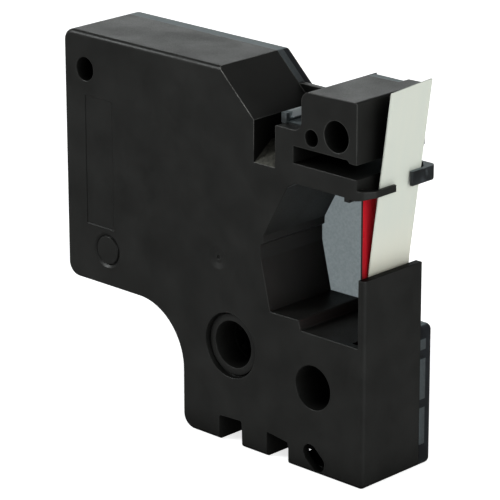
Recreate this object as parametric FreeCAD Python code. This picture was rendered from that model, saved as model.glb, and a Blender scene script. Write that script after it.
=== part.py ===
import FreeCAD, Part
import math
import os

# Label tape cassette, standing on its foot. Millimetres, +Z up.
# The moulded face looks along -Y and the clear cover closes the +Y side.
# Outlines are drawn as (x, z) points with x = 0 at the foot's left side.

os.makedirs("parts", exist_ok=True)
Vec = FreeCAD.Vector

# Case
wall = 1.2
partingY = 13.1
backY = 16.1
coverPlate = 1.3
windowY = 14.0
headDepth = 15.4
leftX = -26.65
footLeftX = -0.4
rightX = 38.2
windowRightX = 33.0
topZ = 61.3
shoulderZ = 19.6
frontEdgeRadius = 0.7
chamferLeftX = 8.1
chamferLowZ = 54.3
gapLeftX = 15.5
armLeftX = 19.95
gapFloorZ = 47.6
rampTopZ = 50.5
rampReach = 3.9
bridgeZ = 57.0
bridgeY = 13.9
coverBridgeZ = 55.8
armShoulderZ = 54.4
headLeftX = 25.3
headRightX = 36.4
headTopZ = 61.0
slotLowZ = 49.2
slotHighZ = 51.9
jawLowZ = 46.05
floorZ = 22.8
finTopZ = 33.7
footRoofZ = 5.55
keyDepth = 6.9

# Tape
tapeWidth = 9.05
tapeMidY = 7.98
tapeThickness = 0.2
tapeRollRadius = 16.5
tapeCoreRadius = 8.5
tapeSpindleRadius = 5.92
tapeCentre = (-5.6, 40.4)
tapeLean = 0.139
tapeExitX = 35.95
tapeExitZ = 33.5
tapeTipZ = 62.95
tapeTravel = 8.0

# Ribbon
ribbonWidth = 10.5
ribbonMidY = 7.7
ribbonThickness = 0.1
ribbonX = 35.3
supplyCentre = (27.9, 14.1)
supplyRollRadius = 6.2
supplyBoreRadius = 3.6
takeupCentre = (10.35, 16.5)
takeupRollRadius = 5.9
takeupBoreRadius = 3.87
takeupCollarRadius = 5.0
takeupRecessRadius = 5.37

# Guide rollers and pins
rollerRadius = 2.0
rollerGap = 0.1
pinRadius = 0.78
runningGap = 0.08
runLeftX = 1.5
runLowZ = 5.85
runRightX = 36.25
guidePinCentre = (14.9, 35.2)

# Holes in the moulded face
armBore = (32.35, 55.05, 2.47)
armSmallBore = (27.35, 53.8, 1.34)
cornerBore = (-21.7, 55.3, 1.95)
slottedHole = ((27.4, 3.2), (28.9, 1.9), 1.45)

# Keying notches under the foot
firstNotch = [(7.82, -1), (7.82, 4.15, 0.4), (12.75, 4.4, 0.4), (12.9, -1)]
secondNotch = [(18.2, -1), (18.2, 4.2, 0.3), (22.6, 3.6, 0.2), (22.8, 2.6), (22.8, -1)]

# The origin is at the middle of the whole cassette's base, tape end included.
tapeTipX = tapeExitX + tapeLean * (tapeTipZ - tapeExitZ) + tapeThickness / 2
originX = (leftX + tapeTipX) / 2
originY = backY / 2


# ---- outlines -------------------------------------------------------------

def unit(a, b):
    dx, dz = b[0] - a[0], b[1] - a[1]
    length = math.hypot(dx, dz)
    return dx / length, dz / length


def cross(a, b):
    return a[0] * b[1] - a[1] * b[0]


def at(p, y):
    return Vec(p[0], y, p[1])


def corner(before, here, after, radius):
    """The two tangent points and the middle point of a rounded corner."""
    u = unit(here, before)
    v = unit(here, after)
    half = math.acos(max(-1.0, min(1.0, u[0] * v[0] + u[1] * v[1]))) / 2
    reach = radius / math.tan(half)
    middle = radius / math.sin(half) - radius
    w = (u[0] + v[0], u[1] + v[1])
    size = math.hypot(*w)
    first = (here[0] + u[0] * reach, here[1] + u[1] * reach)
    mid = (here[0] + w[0] / size * middle, here[1] + w[1] / size * middle)
    last = (here[0] + v[0] * reach, here[1] + v[1] * reach)
    return first, mid, last


def outlineEdges(points, closed, y):
    """Straight runs joined by arcs; each point is (x, z) or (x, z, radius)."""
    edges = []
    start = None
    count = len(points)
    for i, here in enumerate(points):
        radius = here[2] if len(here) > 2 else 0.0
        ends = not closed and i in (0, count - 1)
        if radius > 0 and not ends:
            first, mid, last = corner(points[i - 1], here, points[(i + 1) % count], radius)
            arc = Part.Arc(at(first, y), at(mid, y), at(last, y)).toShape()
        else:
            first = last = here
            arc = None
        if start is not None:
            edges.append(Part.makeLine(at(start, y), at(first, y)))
        else:
            opening = first
        if arc:
            edges.append(arc)
        start = last
    if closed:
        edges.append(Part.makeLine(at(start, y), at(opening, y)))
    return edges


def prism(points, y0, y1):
    face = Part.Face(Part.Wire(outlineEdges(points, True, y0)))
    return face.extrude(Vec(0, y1 - y0, 0))


def inset(points, distance):
    """A closed clockwise outline moved inwards, with its corner radii to match."""
    moved = []
    count = len(points)
    for i, here in enumerate(points):
        u = unit(points[i - 1], here)
        v = unit(here, points[(i + 1) % count])
        bend = cross(u, v)
        n = (u[1] + v[1], -u[0] - v[0])
        size = math.hypot(*n)
        n = (n[0] / size, n[1] / size)
        stretch = distance / (n[0] * u[1] - n[1] * u[0])
        radius = here[2] if len(here) > 2 else 0.0
        radius = radius + distance if bend > 0 and radius else max(0.0, radius - distance)
        moved.append((here[0] + n[0] * stretch, here[1] + n[1] * stretch, radius))
    return moved


def sideways(points, distance):
    """An open path moved to its left, with its corner radii to match."""
    moved = []
    last = len(points) - 1
    for i, here in enumerate(points):
        u = unit(points[max(i - 1, 0)], points[max(i, 1)])
        v = unit(points[min(i, last - 1)], points[min(i + 1, last)])
        n = (-u[1] - v[1], u[0] + v[0])
        size = math.hypot(*n)
        n = (n[0] / size, n[1] / size)
        stretch = distance / (n[1] * u[0] - n[0] * u[1])
        radius = here[2] if len(here) > 2 else 0.0
        if radius:
            radius = radius - distance if cross(u, v) > 0 else radius + distance
        moved.append((here[0] + n[0] * stretch, here[1] + n[1] * stretch, radius))
    return moved


def band(points, thickness, y0, y1):
    """A thin strip that stands on its edge and follows an open path."""
    left = outlineEdges(sideways(points, thickness / 2), False, y0)
    right = outlineEdges(sideways(points, -thickness / 2), False, y0)
    ends = []
    for i, j in ((0, 0), (-1, -1)):
        a = left[i].Vertexes[j].Point
        b = right[i].Vertexes[j].Point
        ends.append(Part.makeLine(a, b))
    loop = Part.Wire(Part.__sortEdges__(left + right + ends))
    return Part.Face(loop).extrude(Vec(0, y1 - y0, 0))


# ---- solids ---------------------------------------------------------------

def box(x0, x1, y0, y1, z0, z1):
    return Part.makeBox(x1 - x0, y1 - y0, z1 - z0, Vec(x0, y0, z0))


def disc(centre, radius, y0, y1):
    return Part.makeCylinder(radius, y1 - y0, at(centre, y0), Vec(0, 1, 0))


def tube(centre, outer, inner, y0, y1):
    return disc(centre, outer, y0, y1).cut(disc(centre, inner, y0, y1))


def planPrism(points, z0, z1):
    """A solid drawn from above: each point is (x, y) or (x, y, radius)."""
    solid = prism(points, 0, z1 - z0)
    solid.rotate(Vec(0, 0, 0), Vec(1, 0, 0), -90)
    solid.translate(Vec(0, 0, z1))
    return solid


def save(name, shape):
    placed = shape.copy()
    placed.translate(Vec(-originX, -originY, 0))
    if len(placed.Solids) == 1:
        placed = placed.Solids[0]
    placed.exportStep("parts/" + name + ".step")
    print("%-24s %9.1f mm3  solids %d" % (name, placed.Volume, len(placed.Solids)))


# ---- case -----------------------------------------------------------------

windowEdge = [
    (22.45, 45.05),
    (17.45, 36.15),
    (17.4, 34.95),
    (16.93, 34.6),
    (16.95, 32.2),
    (18.85, 24.25),
    (24.85, 24.35, 0.3),
    (25.25, floorZ, 0.35),
]
bodyOutline = [
    (leftX, shoulderZ, 2.3),
    (leftX, topZ, 2.0),
    (chamferLeftX, topZ),
    (gapLeftX, chamferLowZ),
    (gapLeftX, gapFloorZ),
    (armLeftX, gapFloorZ),
] + windowEdge + [
    (rightX, floorZ),
    (rightX, 0.0, 0.9),
    (footLeftX, 0.0, 2.4),
    (footLeftX, shoulderZ, 9.8),
]
cavityOutline = [(24.0, jawLowZ), (33.8, jawLowZ), (33.8, floorZ)] + windowEdge[::-1]
armOutline = [
    (armLeftX, gapFloorZ),
    (armLeftX, armShoulderZ, 0.3),
    (headLeftX, armShoulderZ, 1.6),
    (headLeftX, 60.72, 1.6),
    (headRightX, headTopZ, 0.4),
    (headRightX, 51.45),
    (35.0, 51.45),
    (34.6, slotHighZ),
    (23.65, slotHighZ),
    (23.65, slotLowZ),
    (36.5, slotLowZ),
    (36.3, jawLowZ, 0.6),
    (24.0, jawLowZ),
    (22.45, 45.05),
]
headOutline = [
    (headLeftX, slotHighZ),
    (headLeftX, 60.72, 1.6),
    (headRightX, headTopZ, 0.4),
    (headRightX, 51.45),
    (35.0, 51.45),
    (34.6, slotHighZ),
]
headHollow = [
    (headLeftX + wall, slotHighZ + wall),
    (headLeftX + wall, 59.4),
    (headRightX - wall, 59.7),
    (headRightX - wall, slotHighZ + wall),
]
ribbonChannel = [
    (armLeftX + 1.0, 48.1),
    (35.55, 48.1),
    (35.55, jawLowZ - 0.5),
    (35.12, jawLowZ - 0.5),
    (35.12, 47.3, 0.4),
    (22.4, 47.3),
    (22.4, 47.0),
    (21.65, 45.8),
    (19.3, 41.7),
    (18.2, 43.2),
    (armLeftX + 1.0, gapFloorZ - 1.0),
]
tabX = (26.65, 33.0)
tabY = (13.2, 14.9)


def footWalls():
    """Walls that stay round the two foot notches and the slotted hole's pocket."""
    low = -1.0
    first = box(firstNotch[0][0] - wall, firstNotch[-1][0] + wall, 0, partingY, low, footRoofZ)
    second = box(secondNotch[0][0] - wall, 32.5, 0, keyDepth + 2 * wall, low, footRoofZ)
    return first.fuse(second)


def casePocket():
    """The space inside the case, behind the moulded face."""
    space = prism(inset(bodyOutline, wall), wall, partingY)
    slit = box(34.8, rightX - wall, wall, partingY, floorZ - 3, finTopZ + 1)
    channel = prism(ribbonChannel, wall, partingY)
    head = prism(headHollow, wall, headDepth)
    return space.cut(footWalls()).fuse([slit, channel, head])


def notches():
    """Two keying notches under the foot; the second stops at a cross wall."""
    return prism(firstNotch, -1, backY + 1).fuse(prism(secondNotch, -1, keyDepth))


def slotPocket():
    """The slotted hole, the pocket behind it and its way into the second notch."""
    a, b, radius = slottedHole
    u = unit(a, b)
    side = (-u[1] * radius, u[0] * radius)
    flat = [(a[0] + side[0], a[1] + side[1]), (b[0] + side[0], b[1] + side[1]),
            (b[0] - side[0], b[1] - side[1]), (a[0] - side[0], a[1] - side[1])]
    hole = prism(flat, -1, wall + 0.3)
    hole = hole.fuse([disc(a, radius, -1, wall + 0.3), disc(b, radius, -1, wall + 0.3)])
    pocket = box(24.1, 31.3, wall, 7.5, 0.85, 4.85)
    link = box(22.5, 24.5, 3.4, keyDepth, 0.85, 3.6)
    return hole.fuse([pocket, link])


def nearFinger():
    """The curled tape guide at the front of the jaw's tip."""
    plan = [(34.0, 0.0), (37.5, 0.0, 1.0), (38.8, 1.9, 1.4), (38.8, 6.4, 0.3),
            (38.2, 6.4, 0.2), (38.2, 2.6, 0.9), (36.9, wall), (34.0, wall)]
    finger = planPrism(plan, 45.4, 47.55)
    under = prism([(35.0, 44.0), (35.0, 45.9), (36.2, 45.9), (39.0, 46.6), (39.0, 44.0)], -1, 9)
    return finger.cut(under)


def farSpur():
    """A small upright at the back of the arm beside the tape's far edge."""
    root = box(windowRightX + 0.1, 35.1, 12.6, 13.9, 48.15, 49.15)
    foot = box(windowRightX + 0.1, 37.45, 13.3, 13.9, 48.55, 49.15)
    upright = box(37.05, 37.45, 12.9, 13.75, 48.3, 50.15)
    slope = Part.makeBox(2, 2, 3, Vec(36.5, 13.75, 48.9))
    slope.rotate(Vec(36.5, 13.75, 49.1), Vec(1, 0, 0), 22)
    return root.fuse([foot, upright.cut(slope)])


def gapWeb():
    """The thin wall across the back of the gap, with a notch for the cover's rib."""
    web = box(12.6, headLeftX + 0.2, partingY - 0.1, bridgeY, gapFloorZ - wall, bridgeZ)
    return web.cut(box(19.6, 20.75, partingY - 1, bridgeY + 1, armShoulderZ, 56.05))


def gapRamp():
    """The gap's floor, which slopes up from the front and then runs level to the web."""
    base = gapFloorZ - 0.5
    corners = [(0, base), (0, gapFloorZ), (rampReach, rampTopZ), (partingY, rampTopZ), (partingY, base)]
    loop = [Vec(gapLeftX - 0.3, y, z) for y, z in corners]
    face = Part.Face(Part.makePolygon(loop + loop[:1]))
    return face.extrude(Vec(armLeftX - gapLeftX + 0.6, 0, 0))


def windowLining():
    """The ring round the print head window, from inside the case to the clear panel."""
    ring = prism(inset(cavityOutline, -wall), partingY - 0.5, windowY)
    ring = ring.cut(prism(cavityOutline, partingY - 1, windowY + 1))
    return ring.common(box(leftX, windowRightX, partingY - 1, windowY + 1, 0, bridgeZ))


def frontMarks():
    """Shallow marks of moulding on the front: a panel, a disc and the gate."""
    panel = box(-21.8, -15.6, -1, 0.08, 29.5, 51.0)
    mark = Part.makeCone(2.95, 2.45, 0.35, Vec(-17.28, 0, 25.77), Vec(0, 1, 0))
    mark = mark.cut(Part.makeCone(2.3, 2.45, 0.3, Vec(-17.28, 0.05, 25.77), Vec(0, 1, 0)))
    dish = Part.makeCone(1.9, 0.95, 0.28, Vec(7.66, 0, 30.45), Vec(0, 1, 0))
    gate = disc((7.66, 30.45), 0.35, 0.1, 0.42)
    return panel.fuse([mark, dish, gate])


def onOutside(a, b):
    """True where both points lie on one outside face of the case."""
    for x in (leftX, rightX, footLeftX):
        if abs(a.x - x) < 0.01 and abs(b.x - x) < 0.01:
            return True
    for z in (0.0, shoulderZ, topZ):
        if abs(a.z - z) < 0.01 and abs(b.z - z) < 0.01:
            return True
    return False


def softFront(shape):
    """Rounds the long straight front edges of the outside faces."""
    chosen = []
    for edge in shape.Edges:
        ends = [v.Point for v in edge.Vertexes]
        if len(ends) == 2 and edge.Length > 3.0 and max(abs(p.y) for p in ends) < 0.01:
            if onOutside(*ends):
                chosen.append(edge)
    return shape.makeFillet(frontEdgeRadius, chosen)


def caseBody():
    shell = prism(bodyOutline, 0, partingY)
    fin = box(rightX - wall, rightX, 0, partingY, 20.0, finTopZ)
    arm = prism(armOutline, 0, partingY)
    head = prism(headOutline, 0, headDepth)
    solid = shell.fuse([fin, arm, head]).removeSplitter()
    solid = softFront(solid).cut(casePocket())
    bosses = [
        tube(tapeCentre, tapeSpindleRadius, 4.8, wall - 0.2, 14.6),
        disc(supplyCentre, 4.4, wall - 0.2, 14.5),
        tube(takeupCentre, 6.0, 4.0, wall - 0.2, 2.2),
        disc(cornerBore[:2], cornerBore[2] + 1.0, wall - 0.2, partingY),
        disc(armBore[:2], 3.4, wall - 0.2, partingY),
        disc(armSmallBore[:2], 2.2, wall - 0.2, partingY),
    ]
    for centre in (rollerCentres() + [guidePinCentre]):
        bosses.append(disc(centre, 1.6, wall - 0.2, 2.3))
    extras = [nearFinger(), farSpur(), gapRamp(), gapWeb(), windowLining()]
    solid = solid.fuse(extras + bosses)
    cuts = [
        notches(),
        slotPocket(),
        frontMarks(),
        disc(supplyCentre, supplyBoreRadius, -1, 15),
        disc(takeupCentre, takeupRecessRadius, -1, 0.9),
        disc(takeupCentre, takeupCollarRadius + runningGap, 0.5, 3.0),
        disc(cornerBore[:2], cornerBore[2], -1, partingY + 1),
        disc(armBore[:2], armBore[2], -1, 13.5),
        disc(armSmallBore[:2], armSmallBore[2], -1, 13.5),
        box(tabX[0], tabX[1], tabY[0], headDepth + 1, 58.0, 62.0),
    ]
    for centre in (rollerCentres() + [guidePinCentre]):
        cuts.append(disc(centre, pinRadius, 0.8, 3.0))
    return solid.cut(cuts)


# ---- cover ----------------------------------------------------------------

def coverOutline():
    chamfer = (gapLeftX - chamferLeftX) / (topZ - chamferLowZ)
    return [
        (leftX, shoulderZ, 2.3),
        (leftX, topZ, 2.0),
        (chamferLeftX, topZ, 0.6),
        (chamferLeftX + (topZ - coverBridgeZ) * chamfer, coverBridgeZ),
        (windowRightX, coverBridgeZ, 1.0),
        (windowRightX, 23.1),
        (rightX, 23.1, 1.0),
        (rightX, 0.0, 0.9),
        (footLeftX, 0.0, 2.4),
        (footLeftX, shoulderZ, 9.8),
    ]


def farFinger():
    """The curled tape guide that the cover carries."""
    plan = [(31.5, 14.0), (37.4, 14.0), (38.3, 13.2, 0.4), (38.3, 9.7, 0.2),
            (38.9, 9.7, 0.3), (38.9, 15.25, 0.9), (31.5, 15.25)]
    low, high = 46.6, 48.85
    finger = planPrism(plan, low, high)
    corner = box(30, 40, 14.25, 16, low - 1, low + 1)
    corner = corner.cut(Part.makeCylinder(1.0, 10, Vec(30, 14.25, low + 1), Vec(1, 0, 0)))
    return finger.cut(corner)


def shoulderRib():
    """The cover's low cap and its upright rib on the arm's shoulder."""
    reach = bridgeY + 0.3
    low, step, high = armShoulderZ, 54.95, 56.0
    cap = box(armLeftX, 23.6, 2.0, partingY - 0.1, low, low + 0.3)
    rib = prism([(19.65, low), (19.65, high), (20.3, high), (20.3, step), (20.7, step), (20.7, low)],
                3.1, reach)
    post = box(19.65, 20.7, 1.7, 3.1, low, high)
    return [cap, rib, post]


def clearCover():
    plate = prism(coverOutline(), partingY, backY)
    backEdges = []
    for edge in plate.Edges:
        if all(abs(v.Point.y - backY) < 0.01 for v in edge.Vertexes) and edge.Length > 1.6:
            backEdges.append(edge)
    plate = plate.makeFillet(1.0, backEdges)
    notch = prism(firstNotch, partingY - 1, backY + 1)
    plate = plate.cut([
        prism(inset(bodyOutline, wall), partingY - 1, backY - coverPlate),
        prism(cavityOutline, partingY - 1, windowY),
        windowLining(),
        box(12.6, headLeftX + 0.2, partingY - 1, bridgeY, gapFloorZ - wall, bridgeZ),
        prism(headOutline, partingY - 1, headDepth),
        notch,
        box(-24.0, 12.0, backY - 0.1, backY + 1, 24.0, 56.5),
    ])
    # The first notch's walls go on through the cover.
    notchWall = box(firstNotch[0][0] - wall, firstNotch[-1][0] + wall, partingY, backY - 0.5, 0.5, footRoofZ)
    ribs = []
    for z in (9.8, 17.8):
        ribs.append(box(rightX - 3.0, rightX - 0.6, partingY + 0.2, backY - 0.6, z, z + 1.2))
    inlay = prism(inset(headHollow, 0.05), 13.6, headDepth + 0.1)
    tab = box(tabX[0] + 0.05, tabX[1] - 0.05, tabY[0] + 0.05, tabY[1] - 0.05, 58.5, 60.7)
    bosses = [
        tube(takeupCentre, 5.9, takeupCollarRadius + runningGap, 13.6, backY - coverPlate + 0.2),
        disc(tapeCentre, 4.7, 12.6, backY - coverPlate + 0.2),
        disc(supplyCentre, 3.5, 14.6, backY - coverPlate + 0.2),
    ]
    extras = [notchWall.cut(notch), inlay, tab, farFinger()]
    return plate.fuse(extras + ribs + bosses + shoulderRib())


def coverLabel():
    """A blank paper label in the shallow recess of the cover."""
    return box(-23.8, 11.8, backY - 0.1, backY, 24.2, 56.3)


# ---- tape -----------------------------------------------------------------

def tapeY():
    return tapeMidY - tapeWidth / 2, tapeMidY + tapeWidth / 2


def tapeCore():
    y0, y1 = tapeY()
    bore = tapeSpindleRadius + runningGap
    core = tube(tapeCentre, tapeCoreRadius, tapeCoreRadius - 0.9, y0 - 0.3, y1 + 0.3)
    hub = tube(tapeCentre, bore + 0.9, bore, 2.0, 14.3)
    spokes = []
    for i in range(6):
        spoke = box(bore + 0.5, tapeCoreRadius - 0.5, y0, y1, -0.4, 0.4)
        spoke.rotate(Vec(0, 0, 0), Vec(0, 1, 0), i * 60)
        spoke.translate(at(tapeCentre, 0))
        spokes.append(spoke)
    return core.fuse([hub] + spokes)


def tapeWasher(y):
    return tube(tapeCentre, 15.0, tapeSpindleRadius + 1.6, y, y + 0.25)


def rollerCentres():
    step = rollerRadius + rollerGap + tapeThickness / 2
    z = runLowZ + step
    return [(runLeftX + step, z), (runRightX - step, z)]


def tapeRunPath():
    """From the roll over the rounded wall, down the foot, round both rollers and up."""
    bend = (footLeftX - 9.8, shoulderZ - 9.8)
    bendRadius = runLeftX - bend[0]
    rollRadius = tapeRollRadius + 0.05 + tapeThickness / 2
    dx = bend[0] - tapeCentre[0]
    dz = bend[1] - tapeCentre[1]
    angle = math.atan2(dz, dx) + math.asin((rollRadius + bendRadius) / math.hypot(dx, dz))
    along = (math.cos(angle), math.sin(angle))
    start = (tapeCentre[0] + along[1] * rollRadius, tapeCentre[1] - along[0] * rollRadius)
    reach = (runLeftX - start[0]) / along[0]
    turn = rollerRadius + rollerGap + tapeThickness / 2
    return [
        start,
        (runLeftX, start[1] + along[1] * reach, bendRadius),
        (runLeftX, runLowZ, turn),
        (runRightX, runLowZ, turn),
        (runRightX, finTopZ - 0.5),
    ]


def tapeRun():
    return band(tapeRunPath(), tapeThickness, *tapeY())


def tapeEnd():
    """The free end: upright in the pocket, then leaning out past the head."""
    bottom = finTopZ - 0.5 - tapeTravel - 1.5
    tip = tapeExitX + tapeLean * (tapeTipZ - tapeExitZ)
    path = [(tapeExitX, bottom), (tapeExitX, tapeExitZ, 25.0), (tip, tapeTipZ)]
    strip = band(path, tapeThickness, *tapeY())
    y0, y1 = tapeY()
    # The tip was cut off a little askew: the near corner is 0.5 mm lower.
    trim = Part.makePolygon([Vec(tip - 3, y0, tapeTipZ - 0.5), Vec(tip - 3, y1 + 0.1, tapeTipZ + 0.06),
                             Vec(tip - 3, y1 + 0.1, tapeTipZ + 3), Vec(tip - 3, y0 - 0.1, tapeTipZ + 3),
                             Vec(tip - 3, y0 - 0.1, tapeTipZ - 0.5), Vec(tip - 3, y0, tapeTipZ - 0.5)])
    return strip.cut(Part.Face(trim).extrude(Vec(6, 0, 0)))


# ---- ribbon ---------------------------------------------------------------

def ribbonY():
    return ribbonMidY - ribbonWidth / 2, ribbonMidY + ribbonWidth / 2


def tangentPoint(point, centre, radius):
    """Where a line from a point above touches the right side of a circle."""
    dx = point[0] - centre[0]
    dz = point[1] - centre[1]
    angle = math.atan2(dz, dx) - math.acos(radius / math.hypot(dx, dz))
    return centre[0] + radius * math.cos(angle), centre[1] + radius * math.sin(angle)


def ribbonRun():
    """From the supply roll up to the jaw, over it, and down to the take-up roll."""
    gap = 0.05 + ribbonThickness / 2
    rise = (ribbonX, 21.5, 8.0)
    pin = (guidePinCentre[0] - 0.87, guidePinCentre[1] + 0.3, 0.85)
    path = [
        tangentPoint(rise, supplyCentre, supplyRollRadius + gap),
        rise,
        (ribbonX, 47.7, 0.5),
        (21.9, 47.7, 0.6),
        pin,
        tangentPoint(pin, takeupCentre, takeupRollRadius + gap),
    ]
    return band(path, ribbonThickness, *ribbonY())


def takeupCore():
    """The driven hub: a smooth mouth, then a narrower bore with six inner splines."""
    mouth = 5.0
    inner = takeupBoreRadius - 0.25
    hub = tube(takeupCentre, takeupCollarRadius, inner, 0.7, 14.65)
    hub = hub.cut(disc(takeupCentre, takeupBoreRadius, 0, mouth))
    splines = []
    for i in range(6):
        spline = box(inner - 0.7, inner + 0.3, mouth + 0.5, 13.0, -0.45, 0.45)
        spline.rotate(Vec(0, 0, 0), Vec(0, 1, 0), i * 60 + 15)
        spline.translate(at(takeupCentre, 0))
        splines.append(spline)
    return hub.fuse(splines)


def supplyCore():
    bore = 4.4 + runningGap
    hub = tube(supplyCentre, supplyRollRadius - 0.9, bore, 1.7, 14.1)
    rim = tube(supplyCentre, supplyRollRadius - 0.5, bore, 1.7, 2.1)
    return hub.fuse(rim)


def brakeSpring():
    """A split wave ring between the supply core and the cover."""
    ring = tube(supplyCentre, 5.2, 4.5, 14.2, 14.45)
    humps = []
    for i in range(3):
        hump = box(4.55, 5.15, 14.4, 14.75, -0.6, 0.6)
        hump.rotate(Vec(0, 0, 0), Vec(0, 1, 0), i * 120 + 30)
        hump.translate(at(supplyCentre, 0))
        humps.append(hump)
    gap = box(4.0, 6.0, 14.0, 15.5, -0.3, 0.3)
    gap.translate(at(supplyCentre, 0))
    return ring.fuse(humps).cut(gap)


def guideRoller(centre):
    """A flanged-free roller with a waist in the middle and a running bore."""
    y0, y1 = tapeY()
    roller = tube(centre, rollerRadius, pinRadius + 0.07, y0 - 0.4, y1 + 0.4)
    waist = tube(centre, rollerRadius + 1, rollerRadius - 0.35, tapeMidY - 1.5, tapeMidY + 1.5)
    return roller.cut(waist)


def pin(centre):
    return disc(centre, pinRadius, 0.8, backY - coverPlate)


# ---- all pieces -----------------------------------------------------------

lowerLeft, lowerRight = rollerCentres()
ribbon0, ribbon1 = ribbonY()
tape0, tape1 = tapeY()

save("case_body", caseBody())
save("clear_cover", clearCover())
save("cover_label", coverLabel())
save("tape_core", tapeCore())
save("tape_roll", tube(tapeCentre, tapeRollRadius, tapeCoreRadius, tape0, tape1))
save("tape_front_washer", tapeWasher(wall))
save("tape_rear_washer", tapeWasher(backY - coverPlate - 0.25))
save("tape_run", tapeRun())
save("tape_end", tapeEnd())
save("lower_left_roller", guideRoller(lowerLeft))
save("lower_left_roller_pin", pin(lowerLeft))
save("lower_right_roller", guideRoller(lowerRight))
save("lower_right_roller_pin", pin(lowerRight))
save("ribbon_supply_core", supplyCore())
save("ribbon_supply_roll", tube(supplyCentre, supplyRollRadius, supplyRollRadius - 0.9, ribbon0, ribbon1))
save("supply_brake_spring", brakeSpring())
save("ribbon_run", ribbonRun())
save("ribbon_guide_pin", pin(guidePinCentre))
save("takeup_core", takeupCore())
save("takeup_roll", tube(takeupCentre, takeupRollRadius, takeupCollarRadius, ribbon0, ribbon1))
save("takeup_washer", tube(takeupCentre, 5.9, takeupCollarRadius + 0.1, 13.3, 13.5))
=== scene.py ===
import bpy
import math
from mathutils import Matrix, Vector


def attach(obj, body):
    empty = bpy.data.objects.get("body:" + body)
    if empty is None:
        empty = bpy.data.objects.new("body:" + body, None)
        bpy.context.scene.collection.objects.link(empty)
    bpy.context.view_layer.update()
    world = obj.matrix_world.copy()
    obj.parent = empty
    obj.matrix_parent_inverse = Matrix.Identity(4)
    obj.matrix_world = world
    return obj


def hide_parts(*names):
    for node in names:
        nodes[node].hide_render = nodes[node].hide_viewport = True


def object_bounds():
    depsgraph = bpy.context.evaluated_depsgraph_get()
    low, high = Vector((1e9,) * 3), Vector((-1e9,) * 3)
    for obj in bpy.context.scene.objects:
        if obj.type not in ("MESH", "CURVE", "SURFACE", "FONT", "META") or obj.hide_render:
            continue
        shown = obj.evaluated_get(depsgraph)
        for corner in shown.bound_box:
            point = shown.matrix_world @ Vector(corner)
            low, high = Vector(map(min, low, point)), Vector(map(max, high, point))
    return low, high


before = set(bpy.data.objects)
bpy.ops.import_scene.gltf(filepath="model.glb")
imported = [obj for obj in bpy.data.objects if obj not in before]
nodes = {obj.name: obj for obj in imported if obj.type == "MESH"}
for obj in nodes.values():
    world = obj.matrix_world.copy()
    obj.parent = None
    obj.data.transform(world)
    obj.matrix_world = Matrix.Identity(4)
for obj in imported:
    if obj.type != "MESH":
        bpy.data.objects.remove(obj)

cadLow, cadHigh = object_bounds()
mm = 0.001

# Lengths are in millimetres. The case is drawn from its own corner, so pieces are
# placed from the same corner here: x from the foot, y from the moulded face.
corner = Vector((6.7468, 8.05, 0.0))
print("frame loaded")


def place(x, y, z):
    return (Vector((x, y, z)) - corner) * mm


# The same for a range along one axis.
def along(axis, ends):
    zero = getattr(corner, axis)
    return tuple((end - zero) * mm for end in ends)


camera = {
    "azimuth": 43.745,
    "elevation": 18.789,
    "roll": -0.107,
    "target": (6.819, 8.2, 29.448),
    "distance": 471.46,
    "lens": 215.14,
    "sensor": 36,
    "clip": (0.01, 20),     # metres
}


def makeCamera(c):
    az, el, roll = (math.radians(c[k]) for k in ("azimuth", "elevation", "roll"))
    back = Vector((math.sin(az) * math.cos(el), -math.cos(az) * math.cos(el), math.sin(el)))
    right = Vector((math.cos(az), math.sin(az), 0))
    up = back.cross(right)
    tiltedRight = right * math.cos(roll) + up * math.sin(roll)
    tiltedUp = up * math.cos(roll) - right * math.sin(roll)
    turn = Matrix((tiltedRight, tiltedUp, back)).transposed().to_4x4()
    bpy.ops.object.camera_add()
    cam = bpy.context.object
    cam.name = "camera"
    spot = place(*c["target"]) + back * c["distance"] * mm
    cam.matrix_world = Matrix.Translation(spot) @ turn
    cam.data.lens = c["lens"]
    cam.data.sensor_width = c["sensor"]
    cam.data.clip_start, cam.data.clip_end = c["clip"]
    bpy.context.scene.camera = cam


makeCamera(camera)
print("camera placed")


# Small helpers for node trees.
def addNode(tree, kind, **settings):
    node = tree.nodes.new("ShaderNode" + kind)
    for key, value in settings.items():
        setattr(node, key, value)
    return node


def newMaterial(name, colour, roughness, shine, **more):
    mat = bpy.data.materials.new(name)
    mat.use_nodes = True
    shader = mat.node_tree.nodes["Principled BSDF"]
    shader.inputs["Base Color"].default_value = (*colour, 1)
    shader.inputs["Roughness"].default_value = roughness
    shader.inputs["Specular IOR Level"].default_value = shine
    for key, value in more.items():
        shader.inputs[key].default_value = value
    return mat, mat.node_tree, shader


def objectPoint(tree):
    return addNode(tree, "TexCoord").outputs["Object"]


def split(tree, vector):
    parts = addNode(tree, "SeparateXYZ")
    tree.links.new(vector, parts.inputs[0])
    return parts.outputs


def noise(tree, point, scale, detail=3.0, rough=0.5):
    n = addNode(tree, "TexNoise")
    n.inputs["Scale"].default_value = scale
    n.inputs["Detail"].default_value = detail
    n.inputs["Roughness"].default_value = rough
    tree.links.new(point, n.inputs["Vector"])
    return n.outputs["Fac"]


# Noise drawn out along the film, as streaks.
def streakNoise(tree, point, scale):
    drawnOut = addNode(tree, "Mapping")
    drawnOut.inputs["Scale"].default_value = scale
    tree.links.new(point, drawnOut.inputs["Vector"])
    return noise(tree, drawnOut.outputs["Vector"], scale=1.0, detail=4.0)


usualNoise = (0.3, 0.7)     # where most values of a noise lie
squareOn = 0.9              # from here on a face counts as facing along an axis


def spread(tree, value, to, given=usualNoise):
    r = addNode(tree, "MapRange")
    for key, v in zip(("From Min", "From Max", "To Min", "To Max"), (*given, *to)):
        r.inputs[key].default_value = v
    tree.links.new(value, r.inputs["Value"])
    return r.outputs["Result"]


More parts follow.
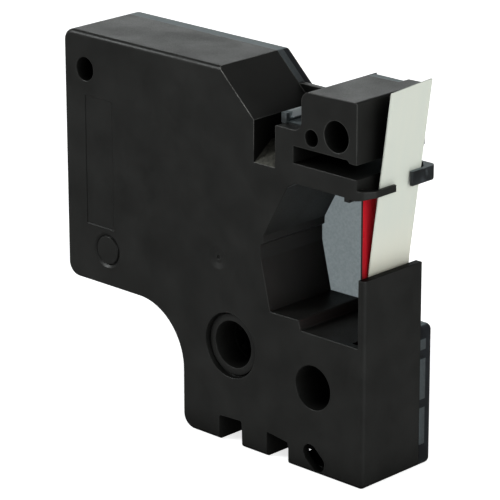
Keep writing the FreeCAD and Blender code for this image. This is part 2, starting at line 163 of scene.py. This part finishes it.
def reckon(tree, how, a, b):
    m = addNode(tree, "Math", operation=how)
    for socket, v in zip(m.inputs, (a, b)):
        if isinstance(v, (int, float)):
            socket.default_value = v
        else:
            tree.links.new(v, socket)
    return m.outputs["Value"]


def product(tree, first, *others):
    for other in others:
        first = reckon(tree, "MULTIPLY", first, other)
    return first


def opposite(tree, mask):
    return reckon(tree, "SUBTRACT", 1.0, mask)


# 1 inside a box and 0 outside it.
def inside(tree, spot, box):
    mask = 1.0
    for axis, ends in box.items():
        low, high = along(axis, ends)
        value = spot[axis.upper()]
        above = reckon(tree, "GREATER_THAN", value, low)
        below = reckon(tree, "LESS_THAN", value, high)
        mask = product(tree, mask, above, below)
    return mask


def blendColours(tree, factor, a, b):
    m = addNode(tree, "Mix", data_type="RGBA")
    tree.links.new(factor, m.inputs["Factor"])
    for socket, v in ((m.inputs[6], a), (m.inputs[7], b)):
        if isinstance(v, tuple):
            socket.default_value = (*v, 1)
        else:
            tree.links.new(v, socket)
    return m.outputs[2]


def shadeOf(colour, share):
    return tuple(c * share for c in colour)


def bump(tree, height, depth, strength, normal=None):
    b = addNode(tree, "Bump")
    b.inputs["Strength"].default_value = strength
    b.inputs["Distance"].default_value = depth * mm
    tree.links.new(height, b.inputs["Height"])
    if normal:
        tree.links.new(normal, b.inputs["Normal"])
    return b.outputs["Normal"]


# The range of a finish's roughness.
def drifting(finish):
    return tuple(finish["roughness"] + step for step in finish["roughnessDrift"])


# Links a value to each named input of the plastic, paper or metal.
def feed(tree, shader, **inputs):
    names = {
        "colour": "Base Color",
        "roughness": "Roughness",
        "shine": "Specular IOR Level",
        "clearness": "Transmission Weight",
        "glow": "Emission Strength",
        "normal": "Normal",
    }
    for key, value in inputs.items():
        tree.links.new(value, shader.inputs[names[key]])


def paint(names, mat):
    for name in names:
        nodes[name].data.materials.clear()
        nodes[name].data.materials.append(mat)


studio = {
    "floorSize": 6.0,           # metres
    "floorGap": 0.05,
    "floorColour": (0.9, 0.9, 0.9),
    "floorRoughness": 0.8,
    "floorShine": 0.1,
    "floorGlow": 0.74,
    "white": (1, 1, 1, 1),
    "skyStrength": (0.11, 0.15),
    "skyHeights": (-0.1, 0.4),
    "lightColour": (0.96, 1.0, 0.99),
    # directions to the lights, distances and sizes in metres, powers in watts
    "lights": {
        "backCard": {
            "towards": (-0.75, 0.62, 0.22), "distance": 1.2,
            "width": 0.9, "height": 0.3, "power": 1.6,
        },
        "rightCard": {
            "towards": (0.93, -0.30, 0.35), "distance": 1.0,
            "width": 0.7, "height": 0.7, "power": 7.5,
        },
        "leftKey": {
            "towards": (-0.62, -0.62, 0.50), "distance": 1.0,
            "width": 0.3, "height": 0.3, "power": 5.4,
        },
    },
}


def makeFloor(s):
    spot = (0, 0, cadLow.z - s["floorGap"] * mm)
    bpy.ops.mesh.primitive_plane_add(size=s["floorSize"], location=spot)
    floor = bpy.context.object
    floor.name = "floor"
    mat, _, shader = newMaterial("paleFloor", s["floorColour"], s["floorRoughness"],
                                 s["floorShine"])
    shader.inputs["Emission Color"].default_value = s["white"]
    shader.inputs["Emission Strength"].default_value = s["floorGlow"]
    floor.data.materials.append(mat)
    floor.visible_glossy = False


# The room is white where the camera sees it and dimmer as a light.
def makeRoom(s):
    world = bpy.data.worlds.new("studio")
    world.use_nodes = True
    tree = world.node_tree
    room = tree.nodes["Background"]
    room.inputs["Color"].default_value = s["white"]
    height = split(tree, addNode(tree, "TexCoord").outputs["Generated"])["Z"]
    strength = spread(tree, height, s["skyStrength"], s["skyHeights"])
    tree.links.new(strength, room.inputs["Strength"])
    wall = addNode(tree, "Background")
    wall.inputs["Color"].default_value = s["white"]
    seen = addNode(tree, "MixShader")
    tree.links.new(addNode(tree, "LightPath").outputs["Is Camera Ray"], seen.inputs["Fac"])
    tree.links.new(room.outputs[0], seen.inputs[1])
    tree.links.new(wall.outputs[0], seen.inputs[2])
    tree.links.new(seen.outputs[0], tree.nodes["World Output"].inputs["Surface"])
    bpy.context.scene.world = world
    bpy.context.scene.view_settings.view_transform = "Standard"


def makeLights(s):
    for name, light in s["lights"].items():
        way = Vector(light["towards"]).normalized()
        spot = way * light["distance"] + place(*camera["target"])
        bpy.ops.object.light_add(type="AREA", location=spot)
        lamp = bpy.context.object
        lamp.name = name
        lamp.rotation_euler = way.to_track_quat("Z", "Y").to_euler()
        lamp.data.shape = "RECTANGLE"
        lamp.data.size = light["width"]
        lamp.data.size_y = light["height"]
        lamp.data.energy = light["power"]
        lamp.data.color = s["lightColour"]


makeFloor(studio)
makeRoom(studio)
makeLights(studio)
print("studio made")


casePlastic = {
    "colour": (0.0100, 0.0100, 0.0093),
    "cloudShades": (0.82, 1.2),         # shares of the colour
    "roughness": 0.43,
    "hubRoughness": 0.5,
    "roughnessDrift": (-0.07, 0.09),
    "shine": 0.32,
    "grain": 5200,
    "grainDepth": 0.012,
    "grainStrength": 0.6,
    "mottle": 160,
    "bothNoises": (0.7, 1.3),
    "roundness": 0.24,                  # radius of the softened edges
    "samples": 6,
    # painted highlight on the soft edges: its colour and where it shows
    "edgeHighlight": (0.36, 0.36, 0.34),
    "edgeHighlightTurn": (0.86, 0.985),          # cosines between a face and its soft edge
    "edgeHighlightClouds": (0.42, 0.62),
    "edgeHighlightLeast": 0.35,
    # the painted edge highlight is strongest between these x ranges, and from this height on
    "highlightFrom": (6.6, 7.9),
    "highlightTo": (15.8, 16.6),
    "highlightHigh": (49.0, 57.0),
    "highlightShares": {"before": 0.08, "after": 0.25, "below": 0.03},
    # painted light on the sloping floor of the gap beside the head
    "gapFloorLightColour": (0.085, 0.083, 0.070),
    "gapFloorLightBox": {"x": (15.6, 19.9), "z": (47.4, 50.6)},
    "gapFloorLightSlope": 0.5,
    "gapFloorLightSpeckle": 1500,
    "gapFloorLightLeast": 0.25,
    # faces that the light misses, and the axis they face
    "darkFaces": (
        {"box": {"x": (15.3, 15.7), "z": (47.4, 54.2)}, "facing": "X"},
        {"box": {"x": (36.3, 38.3), "z": (33.5, 33.9)}, "facing": "Z"},
    ),
    "squarely": 0.7,
    "hollowReach": 8.0,
    "hollowShine": (0.02, 0.32),
    "hollowShineFor": (0.3, 0.9),
    "hollowShade": (0.25, 1.0),
    "hollowShadeFor": (0.2, 0.85),      # shares of open sky
}


def makeCasePlastic(p, name, roughness):
    mat, tree, shader = newMaterial(name, p["colour"], roughness, p["shine"])
    point = objectPoint(tree)
    spot = split(tree, point)
    grain = noise(tree, point, p["grain"], detail=2.0)
    cloud = noise(tree, point, p["mottle"], detail=4.0, rough=0.6)
    both = reckon(tree, "ADD", grain, cloud)
    dullness = spread(tree, both, drifting({**p, "roughness": roughness}), p["bothNoises"])
    soft = addNode(tree, "Bevel", samples=p["samples"])
    soft.inputs["Radius"].default_value = p["roundness"] * mm
    softly = soft.outputs["Normal"]
    feed(tree, shader, roughness=dullness,
         normal=bump(tree, grain, p["grainDepth"], p["grainStrength"], softly))

    # Soft edges get a painted highlight: a little paler than the faces between them, in
    # patches.
    face = addNode(tree, "NewGeometry").outputs["Normal"]
    turn = addNode(tree, "VectorMath", operation="DOT_PRODUCT")
    tree.links.new(face, turn.inputs[0])
    tree.links.new(softly, turn.inputs[1])
    edge = spread(tree, turn.outputs["Value"], (1.0, 0.0), p["edgeHighlightTurn"])
    patches = spread(tree, cloud, (p["edgeHighlightLeast"], 1.0), p["edgeHighlightClouds"])
    shares = p["highlightShares"]
    high = spread(tree, spot["Z"], (shares["below"], 1.0), along("z", p["highlightHigh"]))
    since = spread(tree, spot["X"], (shares["before"], 1.0), along("x", p["highlightFrom"]))
    until = spread(tree, spot["X"], (1.0, shares["after"]), along("x", p["highlightTo"]))
    paintedHighlight = product(tree, edge, patches, product(tree, high, since, until))
    dark, light = (shadeOf(p["colour"], share) for share in p["cloudShades"])
    base = blendColours(tree, spread(tree, cloud, (0.0, 1.0)), dark, light)
    base = blendColours(tree, paintedHighlight, base, p["edgeHighlight"])

    # The sloping floor of the gap beside the head gets painted light: a speckled, paler brown
    # where the top light falls.
    slope = split(tree, face)
    floorOnly = reckon(tree, "GREATER_THAN", slope["Z"], p["gapFloorLightSlope"])
    speckle = spread(tree, noise(tree, point, p["gapFloorLightSpeckle"]), (p["gapFloorLightLeast"], 1.0))
    gapFloorLight = product(tree, inside(tree, spot, p["gapFloorLightBox"]), floorOnly, speckle)
    base = blendColours(tree, gapFloorLight, base, p["gapFloorLightColour"])

    # Deep hollows gather no shine.
    openness = addNode(tree, "AmbientOcclusion", samples=p["samples"])
    openness.inputs["Distance"].default_value = p["hollowReach"] * mm
    lit = openness.outputs["AO"]
    for dim in p["darkFaces"]:
        hidden = reckon(tree, "GREATER_THAN", slope[dim["facing"]], p["squarely"])
        hidden = product(tree, hidden, inside(tree, spot, dim["box"]))
        lit = product(tree, lit, opposite(tree, hidden))
    shaded = addNode(tree, "Mix", data_type="RGBA", blend_type="MULTIPLY")
    shaded.inputs["Factor"].default_value = 1.0
    tree.links.new(base, shaded.inputs[6])
    tree.links.new(spread(tree, lit, p["hollowShade"], p["hollowShadeFor"]), shaded.inputs[7])
    feed(tree, shader, colour=shaded.outputs[2],
         shine=spread(tree, lit, p["hollowShine"], p["hollowShineFor"]))
    return mat


paint(["case_body"], makeCasePlastic(casePlastic, "caseBlack", casePlastic["roughness"]))
paint(["takeup_core"], makeCasePlastic(casePlastic, "hubBlack", casePlastic["hubRoughness"]))
print("case painted")


coverPlastic = {
    "colour": (0.150, 0.178, 0.188),
    "fleck": (0.235, 0.265, 0.275),
    "roughness": 0.34,
    "shine": 0.22,
    "bending": 1.49,
    "grain": 2600,
    "grainDepth": 0.02,
    "grainStrength": 0.5,
    # the outer plate's rim, painted nearly black as shade where it faces sideways
    "rim": (0.010, 0.012, 0.016),
    "rimStart": (14.25, 14.40),
    "rimFlatness": (0.55, 0.85),
    # level tops
    "levelTurn": (0.6, 0.9),
    "levelColour": (0.150, 0.180, 0.190),
    "levelRoughness": 0.5,
    # the right side: heights where each shade starts, 0 for a bar and 1 for a window
    "sideStart": 36.9,
    "sideTop": 23.6,
    "sideScale": 24,
    "sideBands": ((0.0, 0), (3.6, 1), (9.7, 0), (11.1, 1), (17.8, 0), (19.3, 1), (21.0, 0)),
    "fingerDarkness": 0.8,
    # the rib beside the head, with painted light: a pale colour and a glow on its right face
    "ribBox": {"x": (19.4, 20.4), "y": (3.0, 13.2), "z": (54.9, 56.2)},
    "ribLightColour": (0.42, 0.46, 0.47),
    "ribFacing": 0.5,
    "ribPaintedGlow": 0.2,
    "clearness": (0.9, 0.15),           # of the smoky and of the milky places
}


# Bars and windows along a height of 0 to 1.
def makeBands(tree, p, height):
    bars = addNode(tree, "ValToRGB")
    bars.color_ramp.interpolation = "CONSTANT"
    stops = bars.color_ramp.elements
    stops[0].position, stops[0].color = 0.0, (1, 1, 1, 1)
    stops[1].position, stops[1].color = 0.99, (1, 1, 1, 1)
    for start, clear in p["sideBands"]:
        stop = stops.new(start / p["sideScale"])
        stop.color = (1 - clear, 1 - clear, 1 - clear, 1)
    tree.links.new(height, bars.inputs["Fac"])
    return bars.outputs["Color"]


def makeCoverPlastic(p):
    mat, tree, shader = newMaterial("smokyCover", p["colour"], p["roughness"], p["shine"],
                                    IOR=p["bending"])
    point = objectPoint(tree)
    spot = split(tree, point)
    facing = split(tree, addNode(tree, "TexCoord").outputs["Normal"])
    grain = noise(tree, point, p["grain"], detail=2.0)
    base = blendColours(tree, spread(tree, grain, (0.0, 1.0)), p["colour"], p["fleck"])

    # The outer plate is seen edge-on round the sides, so its rim gets painted shade: nearly
    # black.
    rim = spread(tree, spot["Y"], (0.0, 1.0), along("y", p["rimStart"]))
    flatness = reckon(tree, "ABSOLUTE", facing["Y"], 0.0)
    rim = product(tree, rim, spread(tree, flatness, (1.0, 0.0), p["rimFlatness"]))

    # Level tops are lit from above instead, and look paler than the black case.
    level = reckon(tree, "GREATER_THAN", facing["Z"], squareOn)
    rim = product(tree, rim, opposite(tree, level))

    # Ribs behind the right side show as dark bars between clearer windows.
    height = spread(tree, spot["Z"], (0.0, 1.0), (0.0, p["sideScale"] * mm))
    rightSide = reckon(tree, "GREATER_THAN", spot["X"], (p["sideStart"] - corner.x) * mm)
    low = reckon(tree, "LESS_THAN", spot["Z"], p["sideTop"] * mm)
    bar = product(tree, rightSide, low, makeBands(tree, p, height))
    farFinger = product(tree, opposite(tree, low), rightSide, p["fingerDarkness"])
    dark = reckon(tree, "MAXIMUM", reckon(tree, "MAXIMUM", rim, bar), farFinger)

    # The rib beside the head is painted light: a pale colour, and a painted glow on its right
    # face that stands in for light running along it and out of its upper half.
    rib = inside(tree, spot, p["ribBox"])
    ribFace = reckon(tree, "GREATER_THAN", facing["X"], p["ribFacing"])
    shader.inputs["Emission Color"].default_value = (*p["ribLightColour"], 1)
    base = blendColours(tree, dark, base, p["rim"])
    base = blendColours(tree, level, base, p["levelColour"])
    milky = reckon(tree, "MAXIMUM", rib, level)
    dullness = (p["roughness"], p["levelRoughness"])
    feed(tree, shader,
         colour=blendColours(tree, rib, base, p["ribLightColour"]),
         glow=product(tree, rib, ribFace, p["ribPaintedGlow"]),
         clearness=spread(tree, milky, p["clearness"], given=(0.0, 1.0)),
         roughness=spread(tree, facing["Z"], dullness, p["levelTurn"]),
         normal=bump(tree, grain, p["grainDepth"], p["grainStrength"]))
    return mat


paint(["clear_cover"], makeCoverPlastic(coverPlastic))
print("cover painted")


tapeFilm = {
    "colour": (0.480, 0.500, 0.450),
    "pocketShadeColour": (0.580, 0.555, 0.470),
    "pocketShadeHeights": (33, 42),
    "pocketShadeShare": 0.7,
    "streakShare": 0.18,
    "streaks": (900, 900, 40),
    "streakDepth": 0.006,
    "streakStrength": 0.4,
    "roughness": 0.38,
    "roughnessDrift": (-0.05, 0.07),
    "shine": 0.4,
}


def makeTapeFilm(f):
    mat, tree, shader = newMaterial("whiteTape", f["colour"], f["roughness"], f["shine"])
    point = objectPoint(tree)
    streaks = streakNoise(tree, point, f["streaks"])
    # Painted shading: a beige tint towards the bottom, near the pocket.
    low = spread(tree, split(tree, point)["Z"], (1.0, 0.0), along("z", f["pocketShadeHeights"]))
    shade = reckon(tree, "ADD", product(tree, low, f["pocketShadeShare"]),
                   spread(tree, streaks, (0.0, f["streakShare"])))
    feed(tree, shader,
         colour=blendColours(tree, shade, f["colour"], f["pocketShadeColour"]),
         roughness=spread(tree, streaks, drifting(f)),
         normal=bump(tree, streaks, f["streakDepth"], f["streakStrength"]))
    return mat


ribbonFilm = {
    "colour": (0.46, 0.010, 0.018),
    "darkColour": (0.30, 0.006, 0.012),
    "darkEdgeColour": (0.012, 0.010, 0.010),
    "edge": 2.45,
    "darkEdgeMargin": 0.28,         # this much of the front edge is painted nearly black
    "streaks": (60, 700, 60),
    "streakDepth": 0.01,
    "streakStrength": 0.5,
    "roughness": 0.3,
    "roughnessDrift": (-0.08, 0.06),
    "shine": 0.5,
}


def makeRibbonFilm(f):
    mat, tree, shader = newMaterial("redRibbon", f["colour"], f["roughness"], f["shine"])
    point = objectPoint(tree)
    streaks = streakNoise(tree, point, f["streaks"])
    darkEdgeEnd = (f["edge"] + f["darkEdgeMargin"] - corner.y) * mm
    # The front edge strip is painted nearly black.
    darkEdge = reckon(tree, "LESS_THAN", split(tree, point)["Y"], darkEdgeEnd)
    ink = blendColours(tree, spread(tree, streaks, (0.0, 1.0)), f["colour"], f["darkColour"])
    feed(tree, shader,
         colour=blendColours(tree, darkEdge, ink, f["darkEdgeColour"]),
         roughness=spread(tree, streaks, drifting(f)),
         normal=bump(tree, streaks, f["streakDepth"], f["streakStrength"]))
    return mat


paint(["tape_run", "tape_end", "tape_roll"], makeTapeFilm(tapeFilm))
paint(["ribbon_run", "ribbon_supply_roll", "takeup_roll"], makeRibbonFilm(ribbonFilm))
print("films painted")


rolls = {
    "tape_roll": {
        "centre": (-5.6, 40.4), "outer": 16.5, "inner": 8.5, "ends": (3.455, 12.505),
        "pitch": 0.4, "colour": tapeFilm["colour"], "body": "tape_supply", "slot": "tape",
    },
    "ribbon_supply_roll": {
        "centre": (27.9, 14.1), "outer": 6.2, "inner": 5.3, "ends": (2.45, 12.95),
        "pitch": 0.15, "colour": ribbonFilm["colour"], "body": "ribbon_supply",
        "slot": "ribbon",
    },
    "takeup_roll": {
        "centre": (10.35, 16.5), "outer": 5.9, "inner": 5.0, "ends": (2.45, 12.95),
        "pitch": 0.15, "colour": ribbonFilm["colour"], "body": "takeup_spool",
        "slot": "ribbon",
    },
}
winding = {
    "sides": 144,
    "relief": 0.035,            # how far a layer stands in or out
    "roughness": 0.42,
    "roughnessDrift": (-0.08, 0.10),
    "shine": 0.35,
    "wraps": 4200,
    "clouds": 300,
    "cloudLeast": 0.5,
    "shadow": 0.55,
    "depth": 0.02,
    "strength": 0.6,
}
smoothAngle = math.radians(30)


def selectFaces(piece, wanted):
    bpy.ops.mesh.select_all(action="DESELECT")
    bpy.ops.object.mode_set(mode="OBJECT")
    for face in piece.data.polygons:
        face.select = wanted(face)
    bpy.ops.object.mode_set(mode="EDIT")


# A roll of wound film: its ends step in and out from layer to layer.
def windRoll(name, r, w):
    bpy.ops.object.select_all(action="DESELECT")
    front, rear = r["ends"]
    bpy.ops.mesh.primitive_cylinder_add(
        vertices=w["sides"], radius=r["outer"] * mm, depth=(rear - front) * mm,
        location=place(r["centre"][0], (front + rear) / 2, r["centre"][1]),
        rotation=(math.pi / 2, 0, 0))
    roll = bpy.context.object
    roll.name = name + "_wound"
    bpy.ops.object.transform_apply(location=True, rotation=True, scale=True)
    bpy.ops.object.mode_set(mode="EDIT")
    bpy.ops.mesh.select_mode(type="FACE")
    selectFaces(roll, lambda face: abs(face.normal.y) > squareOn)
    film = r["outer"] - r["inner"]
    layers = round(film / r["pitch"])
    for layer in range(layers):
        relief = -w["relief"] if layer % 2 == 0 else w["relief"]
        bpy.ops.mesh.inset(thickness=film / layers * mm, depth=relief * mm,
                           use_individual=True)
    # The last inset leaves a face at each end of the bore: the bore's wall joins them.
    bpy.ops.mesh.delete(type="FACE")
    bpy.ops.mesh.select_mode(type="EDGE")
    bpy.ops.mesh.select_non_manifold()
    bpy.ops.mesh.bridge_edge_loops()
    bpy.ops.mesh.select_all(action="SELECT")
    bpy.ops.mesh.normals_make_consistent(inside=False)
    bpy.ops.object.mode_set(mode="OBJECT")
    bpy.ops.object.shade_smooth_by_angle(angle=smoothAngle)
    return roll


# The pattern runs round the roll's own axis, so that the layers show at its ends.
def makeWound(name, r, w):
    mat, tree, shader = newMaterial(name + "Wound", r["colour"], w["roughness"], w["shine"])
    point = objectPoint(tree)
    middle = place(r["centre"][0], 0, r["centre"][1])
    offAxis = addNode(tree, "VectorMath", operation="MULTIPLY_ADD")
    tree.links.new(point, offAxis.inputs[0])
    offAxis.inputs[1].default_value = (1, 0, 1)
    offAxis.inputs[2].default_value = (-middle.x, 0, -middle.z)
    radius = addNode(tree, "VectorMath", operation="LENGTH")
    tree.links.new(offAxis.outputs[0], radius.inputs[0])
    layers = addNode(tree, "CombineXYZ")
    tree.links.new(radius.outputs["Value"], layers.inputs["X"])
    wraps = noise(tree, layers.outputs[0], w["wraps"], detail=2.0)
    cloud = noise(tree, point, w["clouds"])
    mixed = product(tree, spread(tree, wraps, (0.0, 1.0)),
                    spread(tree, cloud, (w["cloudLeast"], 1.0)))
    shadow = shadeOf(r["colour"], w["shadow"])
    feed(tree, shader,
         colour=blendColours(tree, mixed, r["colour"], shadow),
         roughness=spread(tree, wraps, drifting(w)),
         normal=bump(tree, wraps, w["depth"], w["strength"]))
    return mat


for node, r in rolls.items():
    roll = windRoll(node, r, winding)
    roll.data.materials.append(makeWound(node, r, winding))
    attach(roll, r["body"])
    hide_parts(node)
print("rolls wound")


paperLabel = {
    "low": (-23.8, 24.2),
    "high": (11.8, 56.3),
    "back": (16.0, 16.1),
    "cornerRadius": 1.4,
    "cornerSteps": 8,
    "margin": 0.95,
    "line": 0.25,
    "paper": (0.62, 0.63, 0.61),
    "ink": (0.10, 0.11, 0.12),
    "dull": 0.9,
    "fibre": 2600,
    "fibreLeast": 0.2,
    "clouds": 120,
    "cloudLeast": 0.4,
    "depth": 0.01,
    "strength": 0.5,
    "roughness": 0.62,
    "roughnessDrift": (-0.10, 0.10),
    "shine": 0.3,
}


def makePaper(name, colour, p):
    mat, tree, shader = newMaterial(name, colour, p["roughness"], p["shine"])
    point = objectPoint(tree)
    fibre = noise(tree, point, p["fibre"], detail=5.0, rough=0.65)
    cloud = noise(tree, point, p["clouds"])
    mixed = product(tree, spread(tree, fibre, (p["fibreLeast"], 1.0)),
                    spread(tree, cloud, (p["cloudLeast"], 1.0)))
    feed(tree, shader,
         colour=blendColours(tree, mixed, colour, shadeOf(colour, p["dull"])),
         roughness=spread(tree, fibre, drifting(p)),
         normal=bump(tree, fibre, p["depth"], p["strength"]))
    return mat


def makeLabel(p):
    (left, bottom), (right, top), (front, rear) = p["low"], p["high"], p["back"]
    width, height, thickness = (right - left) * mm, (top - bottom) * mm, (rear - front) * mm
    middle = place((left + right) / 2, (front + rear) / 2, (bottom + top) / 2)
    bpy.ops.object.select_all(action="DESELECT")
    bpy.ops.mesh.primitive_cube_add(size=1, location=middle)
    label = bpy.context.object
    label.name = "cover_label_paper"
    label.scale = (width, thickness, height)
    bpy.ops.object.transform_apply(location=True, rotation=True, scale=True)

    # Round the four corners: their edges are the ones that run through the paper.
    bpy.ops.object.mode_set(mode="EDIT")
    bpy.ops.mesh.select_mode(type="EDGE")
    bpy.ops.mesh.select_all(action="DESELECT")
    bpy.ops.object.mode_set(mode="OBJECT")
    spots = label.data.vertices
    for edge in label.data.edges:
        one, other = (spots[i].co for i in edge.vertices)
        edge.select = abs(one.y - other.y) > thickness / 2
    bpy.ops.object.mode_set(mode="EDIT")
    bpy.ops.mesh.bevel(offset=p["cornerRadius"] * mm, segments=p["cornerSteps"],
                       affect="EDGES")

    # Two insets on the outer face leave a ring between them for the printed line.
    bpy.ops.mesh.select_mode(type="FACE")
    label.data.materials.append(makePaper("labelPaper", p["paper"], p))
    label.data.materials.append(makePaper("labelInk", p["ink"], p))
    selectFaces(label, lambda face: face.normal.y > squareOn)
    bpy.ops.mesh.inset(thickness=p["margin"] * mm)
    bpy.ops.mesh.inset(thickness=p["line"] * mm)
    bpy.ops.object.mode_set(mode="OBJECT")
    outward = (f for f in label.data.polygons if f.normal.y > squareOn)
    field = max(outward, key=lambda f: f.area)
    fieldEdge = set(field.vertices)
    for face in label.data.polygons:
        onLine = face.index != field.index and fieldEdge.intersection(face.vertices)
        face.material_index = 1 if onLine else 0
    bpy.ops.object.shade_smooth_by_angle(angle=smoothAngle)
    return label


label = makeLabel(paperLabel)
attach(label, "case")
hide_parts("cover_label")
print("label made")


innerParts = {
    "core": {
        "colour": (0.60, 0.60, 0.56), "roughness": 0.45, "metal": 0.0,
        "nodes": ["tape_core", "ribbon_supply_core"],
    },
    "roller": {
        "colour": (0.62, 0.63, 0.61), "roughness": 0.30, "metal": 0.0,
        "nodes": ["lower_left_roller", "lower_right_roller"],
    },
    "washer": {
        "colour": (0.30, 0.32, 0.33), "roughness": 0.40, "metal": 0.0,
        "nodes": ["tape_front_washer", "tape_rear_washer", "takeup_washer"],
    },
    "label": {
        "colour": (0.66, 0.67, 0.65), "roughness": 0.55, "metal": 0.0,
        "nodes": ["cover_label"],
    },
    "steel": {
        "colour": (0.50, 0.51, 0.52), "roughness": 0.28, "metal": 1.0,
        "nodes": ["lower_left_roller_pin", "lower_right_roller_pin", "ribbon_guide_pin",
                  "supply_brake_spring"],
    },
}
innerFinish = {
    "grain": 3800,
    "clouds": 210,
    "dull": 0.86,
    "depth": 0.008,
    "strength": 0.5,
    "roughnessDrift": (-0.06, 0.08),
    "shine": 0.4,
}


def makeInner(name, part, f):
    mat, tree, shader = newMaterial(name + "Finish", part["colour"], part["roughness"],
                                    f["shine"], Metallic=part["metal"])
    point = objectPoint(tree)
    fine = noise(tree, point, f["grain"])
    cloud = spread(tree, noise(tree, point, f["clouds"], detail=4.0), (0.0, 1.0))
    dull = shadeOf(part["colour"], f["dull"])
    feed(tree, shader,
         colour=blendColours(tree, cloud, part["colour"], dull),
         roughness=spread(tree, fine, drifting({**f, **part})),
         normal=bump(tree, fine, f["depth"], f["strength"]))
    return mat


for name, part in innerParts.items():
    paint(part["nodes"], makeInner(name, part, innerFinish))
print("inner pieces painted")
